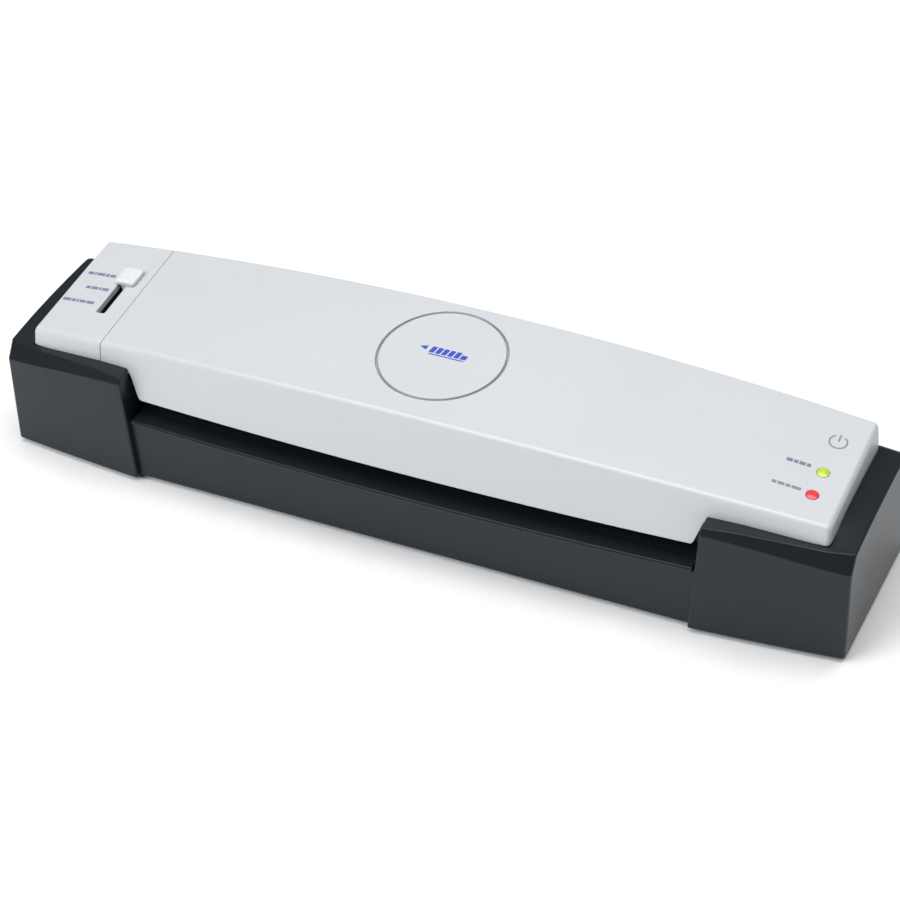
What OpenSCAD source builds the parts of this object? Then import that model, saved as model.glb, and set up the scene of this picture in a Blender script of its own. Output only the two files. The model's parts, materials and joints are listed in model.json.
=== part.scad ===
// Desktop pouch laminator, modelled as the pieces it is assembled from.
// X runs along the machine, -Y is the side where a pouch is fed in and +Z is up.
// The origin is the middle of the footprint, on the surface that the feet stand on.

/* [Case] */
// Overall length of the case
case_len = 355; // [352:1:360]
// Depth of the case from the shelf's lip to the rear edge
case_depth = 84; // [83:0.5:86]
// Height of the feet under the case
foot_h = 1.5; // [1:0.25:2]
// Height of the shoulders round the cover
shoulder_z = 52.4; // [51.5:0.1:53]
// Wall thickness of the moulded shells
wall = 2.4; // [2:0.1:2.6]
// Half the width between the end blocks, at the floor
mouth_half = 118; // [117.5:0.5:118.5]

/* [Cover] */
// Length of the silver cover
cover_len = 333.6; // [330:0.2:334]
// Height of the top at the middle of the machine
crown_z = 66.2; // [65.5:0.1:68]
// Slope of the top down to the front, in degrees
top_slope = 7; // [6:0.25:7.5]
// Radius of the lengthwise crown
crown_r = 1862; // [1700:10:2400]
// Height of the entry lip
lip_z = 36.5; // [36.3:0.1:37]
// Place of the seam beside the control panel
seam_x = -134.5; // [-136:0.5:-133]

/* [Badge and lights] */
// Radius of the badge disc
badge_r = 25.2; // [20:0.2:26]
// Radius of an indicator lens
lens_r = 2.2; // [2:0.1:2.4]
// Places of the two lenses from front to rear
lens_y = [-15.1, -2.9];
// Distance of the lenses from the middle
lens_x = 155.6; // [154:0.2:157]

/* [Slider] */
// Travel of the slider over its three positions
slider_travel = 17.5; // [16:0.5:18]
// Width of the slider's slot
slot_w = 4; // [3.8:0.1:4.4]

/* [Rollers] */
// Height of the pouch path
path_z = 32; // [31.8:0.1:32.2]
// Radius of the silicone sleeves
roller_r = 10; // [9.8:0.05:10]
// Radius of the steel shafts
shaft_r = 4; // [3.5:0.1:4.2]
// Gap between the sleeves with nothing fed in
nip_gap = 0.3; // [0.2:0.05:0.4]
// Teeth on each roller gear, module 1
roller_teeth = 20;
// Teeth on the motor's pinion
pinion_teeth = 12;

/* [Hidden] */

$fn = 48;
drum_fn = 720;
big = 500;

// Colours
silver = [0.80, 0.81, 0.82];
near_black = [0.16, 0.17, 0.19];
ink_black = [0.08, 0.08, 0.09];
steel = [0.66, 0.67, 0.69];
aluminium = [0.78, 0.79, 0.80];
silicone = [0.55, 0.20, 0.14];
nylon = [0.90, 0.88, 0.82];
board_green = [0.10, 0.35, 0.20];

// Case
case_half = case_len / 2;
rear_y = case_depth / 2;
rear_lean = 10.5;
centre_wall_y = -37.7;
block_front_r = 1500;
block_front_y = -45.1;
shoulder_r = 500;
shoulder_y = 25;
seat_z = 27.6;
seat_gap = 0.1;
gland_x = -150;
gland_z = 16;
flare = 3.5;
flare_z = 50;
floor_t = 2.5;
floor_z = foot_h + floor_t;
boss_top = 43;

// Cover
cover_half = cover_len / 2;
front_r = 2200;
front_y = -33.7;
cover_rear_r = 5500;
cover_rear_y = 32.6;
skirt_z = 47.5;
rear_lip_z = 38;
lip_half = 116.9;
fit_gap = 0.3;

// Shelves and guides of the pouch path
shelf_half = 118.6;
shelf_top = 29.2;
guide_half = 116;
guide_front = -24.6;
guide_rear = 27.4;

// Badge and lights
badge_y = 2.3;
badge_t = 1.4;
badge_gap = 0.8;
lens_mid = (lens_y[0] + lens_y[1]) / 2;
lens_board_top = -9;

// Slider
slider_x = -144.5;
slider_rest = 8.9;
slot_end = 13.6;
switch_top = -3.4;

// Rollers and drive
roller_y = 16;
lower_z = path_z - roller_r - nip_gap / 2;
upper_z = path_z + roller_r + nip_gap / 2;
sleeve_half = 113.5;
frame_in = 119.5;
frame_t = 1.5;
frame_out = frame_in + frame_t;
gear_x = 124.5;
gear_w = 6;
pinion_y = roller_y - (roller_teeth + pinion_teeth) / 2;
motor_y = -8;
motor_z = 27;
motor_r = 20;
motor_x = 133;
motor_ears = [[-21.8, 46.7], [-21.8, 7.3]];
ear_x = motor_x + 0.3;
ear_t = 1.2;
ear_r = 3.2;
float_travel = 0.8;
bush_side = 13;
spring_bottom = upper_z + bush_side / 2;
spring_h = 6.2;
spring_turns = 3.5;

// Screws that hold the covers to the case
screw_spots = [
    [-160, -23], [-160, 21], [-130.4, -23], [-130.4, 21], [160, -23], [160, 21]
];
foot_spots = [[-146, -25], [-146, 29], [146, -25], [146, 29]];
board_spots = [[-168, -13], [-168, 13], [-136, -13], [-136, 13]];
board_t = 1.6;
board_top = floor_z + 4 + board_t;

// Places of the frame's tie bars in the YZ plane
bar_spots = [[-23.6, 41.5], [-23.5, 16], [3, 11]];

function top_z(x, y) = crown_z - x * x / (2 * crown_r) + y * tan(top_slope);

// ---- Helper shapes ------------------------------------------------------

// A round bar along X from x0 to x1, at a place in the YZ plane
module bar_x(x0, x1, y, z, r) {
    translate([x0, y, z]) rotate([0, 90, 0]) cylinder(r = r, h = x1 - x0);
}

module block(lo, hi) {
    translate(lo) cube(hi - lo);
}

// A YZ outline extruded along X from x0 to x1
module plate_x(x0, x1, points) {
    translate([x0, 0, 0]) rotate([90, 0, 90]) linear_extrude(x1 - x0) polygon(points);
}

// An XZ outline extruded along the whole depth
module slice_y(points) {
    translate([0, big / 2, 0]) rotate([90, 0, 0]) linear_extrude(big) polygon(points);
}

// Puts its children on the sloping, crowned top at (x, y), square to the surface
module on_top(x, y) {
    translate([x, y, top_z(x, y)])
        rotate([top_slope, 0, 0])
            rotate([0, asin(x / crown_r), 0])
                children();
}

// Outer form of the cover, drawn in by inset on every side but the bottom
module cover_form(inset) {
    intersection() {
        translate([0, 0, crown_z])
            rotate([top_slope, 0, 0])
                translate([0, 0, -crown_r])
                    rotate([-90, 0, 0])
                        cylinder(r = crown_r - inset, h = big, center = true, $fn = drum_fn);
        translate([0, front_y, crown_z])
            rotate([-top_slope, 0, 0])
                translate([0, front_r, 0])
                    cylinder(r = front_r - inset, h = big, center = true, $fn = drum_fn);
        translate([0, cover_rear_y - cover_rear_r, 0])
            cylinder(r = cover_rear_r - inset, h = big, center = true, $fn = drum_fn);
        cube([2 * (cover_half - inset), big, big], center = true);
    }
}

// The part of the cover that is kept: long skirts in the middle, short ones at the ends
module cover_outline() {
    side = mouth_half + flare - 0.7;
    slice_y([
        [-big, skirt_z], [-side, skirt_z], [-lip_half, lip_z], [lip_half, lip_z],
        [side, skirt_z], [big, skirt_z], [big, big], [-big, big]
    ]);
}

// Shell shared by the two silver covers
module cover_shell() {
    difference() {
        intersection() {
            cover_form(0);
            cover_outline();
        }
        cover_form(wall);
        block([-lip_half, 0, 0], [lip_half, big, rear_lip_z]);
    }
    for (y = [-6, 8])
        on_top(lens_x, lens_mid + y) translate([-6, 0, lens_board_top]) cylinder(r = 1.3, h = 7.5);
    for (y = [-16.2, 16.2])
        on_top(slider_x, y) translate([0, 0, switch_top]) cylinder(r = 1.3, h = 2.4);
    for (spot = screw_spots)
        intersection() {
            cover_form(0.5);
            translate([spot[0], spot[1], boss_top + 0.2]) difference() {
                cylinder(r = 3.8, h = 40);
                cylinder(r = 1.5, h = 9);
            }
        }
}

// Gear outline with module 1 and a little backlash, a tooth centred on +X
module gear_outline(teeth) {
    pitch_r = teeth / 2;
    root_r = pitch_r - 1.2;
    tip_r = pitch_r + 0.9;
    step = 360 / teeth;
    root_a = step * 0.33;
    pitch_a = step * 0.22;
    tip_a = step * 0.10;
    polygon([
        for (i = [0 : teeth - 1])
            for (p = [[root_r, -root_a], [pitch_r, -pitch_a], [tip_r, -tip_a],
                      [tip_r, tip_a], [pitch_r, pitch_a], [root_r, root_a]])
                p[0] * [cos(i * step + p[1]), sin(i * step + p[1])]
    ]);
}

// Gear with its axis along X; turn shifts the teeth, counted from +Y towards +Z
module gear_x(y, z, teeth, turn, bore_r) {
    translate([gear_x, y, z]) rotate([90, 0, 90]) rotate([0, 0, turn]) difference() {
        linear_extrude(gear_w) gear_outline(teeth);
        translate([0, 0, -1]) cylinder(r = bore_r, h = gear_w + 2);
    }
}

// Outer form of the case, drawn in by inset
module case_form(inset) {
    intersection() {
        translate([0, block_front_y + block_front_r, 0])
            cylinder(r = block_front_r - inset, h = big, center = true, $fn = drum_fn);
        translate([0, shoulder_y, shoulder_z - shoulder_r])
            rotate([0, 90, 0])
                cylinder(r = shoulder_r - inset, h = big, center = true, $fn = drum_fn);
        translate([0, rear_y, foot_h]) rotate([rear_lean, 0, 0])
            block([-case_half + inset, -100, -60], [case_half - inset, -inset, 100]);
        block([-big, -big, foot_h], [big, big, big]);
    }
}

// The space between the end blocks, from a height upwards
module mouth_gap(grow, from_z) {
    side = mouth_half + grow;
    slope = flare / (flare_z - foot_h);
    low = side + slope * (from_z - foot_h);
    high = side + slope * (80 - foot_h);
    slice_y([[-low, from_z], [low, from_z], [high, 80], [-high, 80]]);
}

// ---- Shells -------------------------------------------------------------

module bottom_case() color(near_black) {
    difference() {
        case_form(0);
        // Set-back centre wall and the open middle above the seats
        intersection() {
            mouth_gap(0, -10);
            block([-big, -big, -10], [big, centre_wall_y, 100]);
        }
        mouth_gap(0, seat_z);
        // Inside of the two end blocks
        difference() {
            intersection() {
                case_form(wall);
                block([-big, -big, floor_z], [big, big, 100]);
            }
            mouth_gap(wall, -10);
        }
        // Inside of the centre
        intersection() {
            case_form(wall);
            block([-mouth_half - 8, -28, floor_z], [mouth_half + 8, big, 100]);
        }
        block([-mouth_half + wall, centre_wall_y + wall, floor_z], [mouth_half - wall, 0, 60]);
        // Opening in the shoulders for the cover
        intersection() {
            cover_form(-fit_gap);
            block([-big, -big, skirt_z - 3], [big, big, 100]);
        }
        for (spot = screw_spots)
            translate([spot[0], spot[1], -1]) cylinder(r = 3.2, h = floor_z + 2);
        for (spot = foot_spots)
            translate([spot[0], spot[1], 0]) cylinder(r = 6.1, h = foot_h + 1);
        gland_place() rotate([-90, 0, 0]) cylinder(r = 5.2, h = 12, center = true);
        for (x = [-100 : 20 : 100], y = [-12, 8])
            block([x - 6, y - 1.2, 0], [x + 6, y + 1.2, 10]);
    }
    for (spot = screw_spots)
        translate([spot[0], spot[1], foot_h]) difference() {
            cylinder(r = 4.8, h = boss_top - foot_h);
            translate([0, 0, -1]) cylinder(r = 3.2, h = boss_top - foot_h - 2);
            cylinder(r = 1.7, h = 60);
        }
    for (spot = board_spots)
        translate([spot[0], spot[1], floor_z]) cylinder(r = 2.5, h = 4);
}

module top_cover() color(silver) difference() {
    intersection() {
        cover_shell();
        block([seam_x + 0.15, -big, 0], [big, big, big]);
    }
    on_top(0, badge_y)
        translate([0, 0, -badge_t]) cylinder(r = badge_r + badge_gap, h = 10, $fn = 96);
    for (y = lens_y)
        on_top(lens_x, y) cylinder(r = lens_r + 0.1, h = 20, center = true);
}

module control_cover() color(silver) difference() {
    intersection() {
        cover_shell();
        block([-big, -big, 0], [seam_x - 0.15, big, big]);
    }
    on_top(slider_x, 0)
        block([-slot_w / 2, -slot_end, -20], [slot_w / 2, slot_end, 20]);
}

module badge_disc() color(silver)
    on_top(0, badge_y) translate([0, 0, -badge_t]) cylinder(r = badge_r, h = badge_t, $fn = 96);

// Shelf under the entry slot, with a bowed front lip
module feed_shelf() color(near_black) intersection() {
    plate_x(-shelf_half, shelf_half, [
        [-60, seat_z + seat_gap], [-31, seat_z + seat_gap], [guide_front, 29],
        [guide_front, 30.3], [-31, shelf_top], [-60, shelf_top]
    ]);
    translate([0, -rear_y + front_r, 0]) cylinder(r = front_r, h = big, $fn = drum_fn);
}

// Funnel from the cover's lip down to the upper heater plate
module upper_feed_guide() color(ink_black)
    plate_x(-guide_half, guide_half, [
        [-31.2, 36.6], [-31.2, 38], [guide_front, 35.2], [guide_front, 33.8]
    ]);

module exit_shelf() color(near_black)
    plate_x(-shelf_half, shelf_half, [
        [guide_rear, 29.3], [guide_rear, 30.4], [38.6, 28.9],
        [38.6, seat_z + seat_gap], [33, seat_z + seat_gap]
    ]);

// Lip under the cover's rear edge, above the path
module upper_exit_guide() color(ink_black)
    plate_x(-guide_half, guide_half, [
        [guide_rear, 34.6], [guide_rear, 35.8], [31.2, 37.4], [31.2, 36.2]
    ]);

module rubber_feet() color(ink_black)
    for (spot = foot_spots)
        translate([spot[0], spot[1], 0]) cylinder(r = 6, h = foot_h + 1);

module case_screws() color(steel)
    for (spot = screw_spots)
        translate([spot[0], spot[1], boss_top - 3]) difference() {
            union() {
                translate([0, 0, -2]) cylinder(r = 2.8, h = 2);
                cylinder(r = 1.45, h = 11);
            }
            translate([-0.4, -2, -2.1]) cube([0.8, 4, 0.9]);
            translate([-2, -0.4, -2.1]) cube([4, 0.8, 0.9]);
        }

// Place of the cable gland, its +Y pointing out of the rear wall
module gland_place() {
    translate([gland_x, rear_y - (gland_z - foot_h) * tan(rear_lean), gland_z])
        rotate([rear_lean, 0, 0])
            children();
}

module cable_gland() color(ink_black)
    gland_place() rotate([-90, 0, 0]) difference() {
        union() {
            cylinder(r = 7, h = 1.2);
            translate([0, 0, -6]) cylinder(r = 5.1, h = 7);
            translate([0, 0, -5.5]) cylinder(r = 6.6, h = 3);
        }
        translate([0, 0, -10]) cylinder(r = 3.3, h = 20);
    }

// ---- Indicator lights ---------------------------------------------------

module lens(y) {
    on_top(lens_x, y) {
        translate([0, 0, -4]) cylinder(r = lens_r, h = 4);
        intersection() {
            translate([0, 0, -5]) sphere(r = 5.46);
            cylinder(r = lens_r, h = 2);
        }
    }
}

module green_lens() color([0.62, 0.78, 0.10]) lens(lens_y[1]);

module red_lens() color([0.90, 0.12, 0.10]) lens(lens_y[0]);

module indicator_board() color(board_green)
    on_top(lens_x, lens_mid)
        block([-9, -9, lens_board_top - board_t], [5, 11, lens_board_top]);

module indicator_leds() color([0.85, 0.86, 0.84])
    for (y = lens_y)
        on_top(lens_x, y) {
            translate([0, 0, lens_board_top + 0.1]) cylinder(r = 1.9, h = 1);
            translate([0, 0, lens_board_top + 1]) cylinder(r = 1.5, h = 3.6);
        }

// ---- Slider and electronics ----------------------------------------------

module slider_knob() color([0.93, 0.93, 0.94])
    on_top(slider_x, 0) translate([0, slider_rest, 0]) {
        difference() {
            block([-5.25, -4.75, 0.35], [5.25, 4.75, 2.2]);
            for (i = [-2 : 2])
                block([-6, i * 1.4 - 0.25, 1.9], [6, i * 1.4 + 0.25, 3]);
        }
        block([-slot_w / 2 + 0.3, -4, -7], [slot_w / 2 - 0.3, 4, 0.4]);
    }

module slide_switch() color(ink_black)
    on_top(slider_x, 0) difference() {
        block([-6.5, -18, -10.5], [6.5, 18, switch_top]);
        block([-slot_w / 2, -slot_end - 0.4, -8], [slot_w / 2, slot_end + 0.4, 0]);
    }

module main_board() color(board_green) difference() {
    block([-173.5, -15.5, floor_z + 4], [-132, 15.5, board_top]);
    for (spot = board_spots)
        translate([spot[0], spot[1], 0]) cylinder(r = 1.6, h = 30);
}

module board_parts() color([0.22, 0.24, 0.30]) {
    block([-171, -9, board_top], [-151, 9, board_top + 17]);
    translate([-144, 3, board_top]) cylinder(r = 5, h = 16);
    block([-149, -15, board_top], [-139, -5, board_top + 12]);
    translate([-136, -4, board_top]) cylinder(r = 2.2, h = 8);
}

module terminal_block() color([0.93, 0.93, 0.90]) difference() {
    block([-164, 9.4, board_top], [-146, 15.4, board_top + 9]);
    for (x = [-160.5, -155, -149.5]) {
        translate([x, 12.4, board_top + 3]) cylinder(r = 1.6, h = 10);
        block([x - 1.2, 14.6, board_top + 2], [x + 1.2, 20, board_top + 5]);
    }
}

// ---- Frame --------------------------------------------------------------

module frame_plate(x0) {
    difference() {
        plate_x(x0, x0 + frame_t, [
            [-27, floor_z + 0.1], [28, floor_z + 0.1], [28, 46], [26, 58], [6, 58], [4, 50], [-27, 50]
        ]);
        bar_x(x0 - 1, x0 + 3, roller_y, lower_z, 6.5);
        block([x0 - 1, roller_y - bush_side / 2 - 0.1, upper_z - bush_side / 2 - 0.1],
              [x0 + 3, roller_y + bush_side / 2 + 0.1, spring_bottom + spring_h]);
        for (spot = bar_spots)
            bar_x(x0 - 1, x0 + 3, spot[0], spot[1], 1.5);
    }
}

module left_frame() color(steel) frame_plate(-frame_out);

module right_frame() color(steel) difference() {
    frame_plate(frame_in);
    for (ear = motor_ears)
        bar_x(frame_in - 1, frame_out + 1, ear[0], ear[1], 1.5);
}

module tie_bars() color(steel)
    for (spot = bar_spots) {
        bar_x(-frame_in, frame_in, spot[0], spot[1], 2.5);
        bar_x(-frame_out - 2, frame_out + 2, spot[0], spot[1], 1.45);
    }

// ---- Heating ------------------------------------------------------------

// Finned aluminium plate; side is 1 for the upper one and -1 for the lower one
module heater_plate(side) {
    near = path_z + side * 1.6;
    far = path_z + side * 5.6;
    difference() {
        plate_x(-frame_in + 0.3, frame_in - 0.3, [
            [-24, near + side * 1], [-22, near], [2, near], [3, near + side * 0.6],
            [3, far], [-24, far]
        ]);
        for (y = [-22.4, 0.4])
            block([-big, y - 0.8, min(far, far - side * 2)], [big, y + 0.8, max(far, far - side * 2)]);
    }
}

module upper_heater_plate() color(aluminium) heater_plate(1);

module lower_heater_plate() color(aluminium) heater_plate(-1);

module heating_element(z) block([-110, -19, z], [110, -3, z + 2.4]);

module upper_heating_element() color([0.85, 0.80, 0.68]) heating_element(path_z + 5.7);

module lower_heating_element() color([0.85, 0.80, 0.68]) heating_element(path_z - 8.1);

module clamp_plate(z) difference() {
    block([-114, -21, z], [114, -1, z + 1]);
    for (x = [-90 : 45 : 90])
        translate([x, -11, z - 1]) cylinder(r = 4, h = 3);
}

module upper_clamp_plate() color(steel) clamp_plate(path_z + 8.2);

module lower_clamp_plate() color(steel) clamp_plate(path_z - 9.2);

module thermostat() color([0.75, 0.72, 0.66]) translate([22.5, -11, path_z + 9.3]) {
    cylinder(r = 8, h = 2);
    translate([0, 0, 2]) cylinder(r = 6.5, h = 5);
    for (x = [-4, 4])
        block([x - 0.4, -2.5, 6], [x + 0.4, 2.5, 11]);
}

module thermal_fuse() color([0.88, 0.86, 0.80]) {
    bar_x(-34, -12, -11, path_z + 11.5, 2.2);
    for (x = [-37, -12])
        bar_x(x, x + 3, -11, path_z + 11.5, 0.6);
}

// ---- Rollers ------------------------------------------------------------

module roller_shaft(z) {
    bar_x(-124.8, gear_x + gear_w + 0.6, roller_y, z, shaft_r);
}

module roller_sleeve(z) {
    difference() {
        bar_x(-sleeve_half, sleeve_half, roller_y, z, roller_r);
        bar_x(-sleeve_half - 1, sleeve_half + 1, roller_y, z, shaft_r);
    }
}

module lower_roller_shaft() color(steel) roller_shaft(lower_z);

module lower_roller_sleeve() color(silicone) roller_sleeve(lower_z);

module lower_roller_gear() color(nylon) gear_x(roller_y, lower_z, roller_teeth, 0, shaft_r);

module upper_roller_shaft() color(steel) roller_shaft(upper_z);

module upper_roller_sleeve() color(silicone) roller_sleeve(upper_z);

module upper_roller_gear() color(nylon)
    gear_x(roller_y, upper_z, roller_teeth, 180 / roller_teeth, shaft_r);

module lower_bushes() color(nylon)
    for (side = [-1, 1]) mirror([side > 0 ? 0 : 1, 0, 0]) difference() {
        union() {
            bar_x(frame_in - 1.6, frame_in, roller_y, lower_z, 8.5);
            bar_x(frame_in - 0.5, frame_out + 1.5, roller_y, lower_z, 6.45);
        }
        bar_x(frame_in - 5, frame_out + 5, roller_y, lower_z, shaft_r + 0.05);
    }

module upper_bushes() color(nylon)
    for (side = [-1, 1]) mirror([side > 0 ? 0 : 1, 0, 0]) difference() {
        union() {
            bush_block(frame_in - 1.7, frame_in - 0.1, 8);
            bush_block(frame_in - 0.5, frame_out + 0.5, bush_side / 2);
            bush_block(frame_out + 0.1, frame_out + 1.5, 8);
            translate([frame_in + frame_t / 2, roller_y, upper_z]) cylinder(r = 2.3, h = 9);
        }
        bar_x(frame_in - 5, frame_out + 5, roller_y, upper_z, shaft_r + 0.05);
    }

module bush_block(x0, x1, half) {
    block([x0, roller_y - half, upper_z - half], [x1, roller_y + half, upper_z + min(half, bush_side / 2)]);
}

// Two compression springs that press the upper bushes down
module pressure_springs() color(steel)
    for (side = [-1, 1])
        translate([side * (frame_in + frame_t / 2), roller_y, spring_bottom + 0.3])
            linear_extrude(spring_h - 0.6, twist = -360 * spring_turns, slices = 12 * spring_turns)
                polygon(concat(
                    [for (i = [0 : 7]) 3.7 * [cos(i * 30), sin(i * 30)]],
                    [for (i = [7 : -1 : 0]) 2.7 * [cos(i * 30), sin(i * 30)]]
                ));

// ---- Drive --------------------------------------------------------------

module drive_motor() color(steel) difference() {
    union() {
        bar_x(motor_x, motor_x + 18, motor_y, motor_z, motor_r);
        bar_x(motor_x - 1.2, motor_x + 1, pinion_y, lower_z, 5);
        for (ear = motor_ears)
            motor_ear(ear);
    }
    bar_x(motor_x - 5, motor_x + 6, pinion_y, lower_z, 2.55);
    for (ear = motor_ears)
        bar_x(motor_x - 1, motor_x + 3, ear[0], ear[1], 1.6);
}

// Flat ear from the motor's rim to a fixing hole
module motor_ear(ear) {
    dy = ear[0] - motor_y;
    dz = ear[1] - motor_z;
    translate([ear_x, motor_y, motor_z]) rotate([atan2(dz, dy), 0, 0])
        block([0, 12, -2.8], [ear_t, norm([dy, dz]), 2.8]);
    bar_x(ear_x, ear_x + ear_t, ear[0], ear[1], ear_r);
}

module motor_shaft() color(steel) bar_x(gear_x - 1, motor_x + 5, pinion_y, lower_z, 2.5);

module motor_pinion() color(nylon) gear_x(pinion_y, lower_z, pinion_teeth, 180 / pinion_teeth, 2.5);

module motor_posts() color(steel)
    for (ear = motor_ears) {
        bar_x(frame_out + 0.05, ear_x - 0.05, ear[0], ear[1], 3);
        bar_x(frame_in - 1, ear_x + ear_t + 0.5, ear[0], ear[1], 1.45);
        bar_x(ear_x + ear_t + 0.05, ear_x + ear_t + 2, ear[0], ear[1], 2.8);
    }

bottom_case();
top_cover();
control_cover();
badge_disc();
feed_shelf();
upper_feed_guide();
exit_shelf();
upper_exit_guide();
rubber_feet();
case_screws();
cable_gland();
green_lens();
red_lens();
indicator_board();
indicator_leds();
slider_knob();
slide_switch();
main_board();
board_parts();
terminal_block();
left_frame();
right_frame();
tie_bars();
upper_heater_plate();
lower_heater_plate();
upper_heating_element();
lower_heating_element();
upper_clamp_plate();
lower_clamp_plate();
thermostat();
thermal_fuse();
lower_roller_shaft();
lower_roller_sleeve();
lower_roller_gear();
upper_roller_shaft();
upper_roller_sleeve();
upper_roller_gear();
lower_bushes();
upper_bushes();
pressure_springs();
drive_motor();
motor_shaft();
motor_pinion();
motor_posts();
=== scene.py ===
"""Looks of the pouch laminator, built round the CAD frame. Lengths are in mm until a piece is finished."""
import json
import math

import bmesh
import bpy
from mathutils import Matrix, Vector


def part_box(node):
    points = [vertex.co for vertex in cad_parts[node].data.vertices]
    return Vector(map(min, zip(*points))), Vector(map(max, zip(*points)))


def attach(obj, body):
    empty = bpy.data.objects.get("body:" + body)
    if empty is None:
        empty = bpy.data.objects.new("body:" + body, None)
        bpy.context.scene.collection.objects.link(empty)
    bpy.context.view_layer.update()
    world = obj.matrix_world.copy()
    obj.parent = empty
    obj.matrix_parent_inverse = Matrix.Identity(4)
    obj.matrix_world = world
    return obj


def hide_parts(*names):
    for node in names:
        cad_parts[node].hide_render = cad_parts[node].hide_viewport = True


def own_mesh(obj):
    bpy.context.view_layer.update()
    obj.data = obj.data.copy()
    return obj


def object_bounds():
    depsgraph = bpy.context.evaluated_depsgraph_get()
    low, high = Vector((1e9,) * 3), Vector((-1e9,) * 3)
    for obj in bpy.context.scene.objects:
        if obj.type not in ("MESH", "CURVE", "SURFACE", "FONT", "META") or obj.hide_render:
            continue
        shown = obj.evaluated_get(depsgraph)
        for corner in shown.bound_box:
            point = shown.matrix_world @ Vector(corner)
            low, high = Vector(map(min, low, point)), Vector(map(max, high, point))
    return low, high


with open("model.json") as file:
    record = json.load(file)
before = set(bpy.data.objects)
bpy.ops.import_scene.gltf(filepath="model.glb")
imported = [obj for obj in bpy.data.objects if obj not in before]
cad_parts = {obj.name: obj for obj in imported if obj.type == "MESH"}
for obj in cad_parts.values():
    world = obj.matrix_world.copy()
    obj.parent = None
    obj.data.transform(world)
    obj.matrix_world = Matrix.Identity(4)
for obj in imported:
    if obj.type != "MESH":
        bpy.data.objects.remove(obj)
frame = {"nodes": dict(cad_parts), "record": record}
cad_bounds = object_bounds()

MM = 0.001


def box_mm(node):
    lo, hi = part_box(node)
    return lo / MM, hi / MM


case_lo, case_hi = box_mm("bottom_case")
cover_lo, cover_hi = box_mm("top_cover")
badge_lo, badge_hi = box_mm("badge_disc")
shelf_lo, shelf_hi = box_mm("feed_shelf")
gland_lo, gland_hi = box_mm("cable_gland")
spring_lo, spring_hi = box_mm("pressure_springs")
seam_left, seam_right = box_mm("control_cover")[1].x, cover_lo.x
foot_top = box_mm("rubber_feet")[1].z
screw_bottom = box_mm("case_screws")[0].z

# ---- Values shared with the CAD ------------------------------------------

# Silver top: slope down to the front, height and crown radius in the middle, and the bowed front and rear
SLOPE = math.radians(7)
CROWN_Z, CROWN_R = 66.2, 1862
FRONT_Y, FRONT_R = -33.7, 2200
REAR_Y, REAR_R = 32.6, 5500
# Lower edges of the cover over the entry, over the exit and on the end blocks, and where they change
LIP_Z, REAR_LIP_Z, SKIRT_Z = 36.5, 38.0, 47.5
LIP_HALF, SKIRT_HALF = 116.9, 120.8
BADGE_Y = 2.3
SLIDER_X, SLOT_HALF, SLOT_END = -144.5, 2.0, 13.6
# Case: wall, floor and seat heights, the mouth between the end blocks, and their bowed front and arched top
WALL = 2.4
FLOOR_Z, SEAT_Z = case_lo.z + 2.5, 27.6
MOUTH_HALF, FLARE = 118.0, 3.5 / 48.5
BLOCK_Y, BLOCK_R = -45.1, 1500
SHOULDER_Z, SHOULDER_Y, SHOULDER_R = 52.4, 25.0, 500
CENTRE_Y = -37.7
REAR_LEAN = math.radians(10.5)
SCREW_SPOTS = [(-160, -23), (-160, 21), (-130.4, -23), (-130.4, 21), (160, -23), (160, 21)]
FOOT_SPOTS = [(-146, -25), (-146, 29), (146, -25), (146, 29)]
GLAND_Z = 16.0

cover_end = cover_hi.x
case_end = case_hi.x
badge_at = ((badge_lo.x + badge_hi.x) / 2, BADGE_Y)
badge_r = (badge_hi.x - badge_lo.x) / 2


def arc_sag(x, radius):
    return radius - math.sqrt(radius * radius - x * x)


def top_z(x, y):
    return CROWN_Z - arc_sag(x, CROWN_R) / math.cos(SLOPE) + y * math.tan(SLOPE)


def on_top(centre):
    """Place on the silver top: a is across, b is towards the rear and h is height above the surface."""

    def place(a, b, h):
        x = centre[0] + a
        y = centre[1] + b * math.cos(SLOPE)
        tilt = math.asin(x / CROWN_R)
        normal = Vector((math.sin(tilt), -math.sin(SLOPE) * math.cos(tilt), math.cos(SLOPE) * math.cos(tilt)))
        return Vector((x, y, top_z(x, y))) + normal * h

    return place


# ---- Outlines ------------------------------------------------------------


def meet(line_a, line_b):
    """Where two (point, direction) lines cross."""
    (px, py), (dx, dy) = line_a
    (qx, qy), (ex, ey) = line_b
    t = ((qx - px) * ey - (qy - py) * ex) / (dx * ey - dy * ex)
    return (px + t * dx, py + t * dy)


def rounded(points, radii, steps):
    """The closed outline with an arc of so many steps at each corner; 0 steps keeps a point as it is."""
    out = []
    for i, corner in enumerate(points):
        if not steps[i]:
            out.append(corner)
            continue
        c = Vector(corner)
        a = (Vector(points[i - 1]) - c).normalized()
        b = (Vector(points[(i + 1) % len(points)]) - c).normalized()
        half = a.angle(b) / 2
        reach = radii[i] / math.tan(half)
        middle = c + (a + b).normalized() * (radii[i] / math.sin(half))
        start, end = c + a * reach - middle, c + b * reach - middle
        sweep = start.angle_signed(end)
        for k in range(steps[i] + 1):
            turn = -sweep * k / steps[i]
            out.append((
                middle.x + start.x * math.cos(turn) - start.y * math.sin(turn),
                middle.y + start.x * math.sin(turn) + start.y * math.cos(turn),
            ))
    return out


def edge_inset(d, radius):
    """How far a rounded edge has drawn in at a distance d from the end face."""
    return radius - math.sqrt(max(0.0, radius ** 2 - (radius - d) ** 2)) if d < radius else 0.0


def spread(x0, x1, step):
    count = max(1, round((x1 - x0) / step))
    return [x0 + (x1 - x0) * i / count for i in range(count + 1)]


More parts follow.
